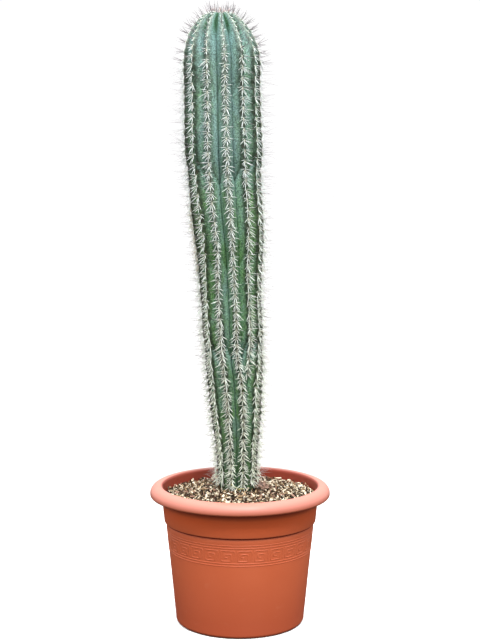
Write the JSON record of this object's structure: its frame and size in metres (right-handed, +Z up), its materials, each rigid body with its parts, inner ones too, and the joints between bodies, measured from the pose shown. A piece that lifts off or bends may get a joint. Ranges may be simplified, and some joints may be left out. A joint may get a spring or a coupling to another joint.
{
  "type": "potted mexican giant cardon",
  "caption": "Young ribbed columnar cactus with white spines, rooted in a round terracotta-coloured plastic pot with a rolled rim and a gravel top dressing.",
  "frame": {"origin": "centre of the pot's foot, on the surface that the pot stands on", "axes": "+Z up along the pot's axis; the camera of the picture looks along +Y, with +X to the right"},
  "size_m": [0.26, 0.26, 0.8871],
  "materials": {
    "pot": "satin moulded plastic",
    "soil": "matt, loose peat and bark",
    "gravel": "matt, loose grains",
    "skin": "waxy, with a pale bloom"
  },
  "bodies": {
    "root": {"pot": "pot", "soil": "soil", "gravel": "gravel", "cactus": "skin"}
  },
  "joints": []
}
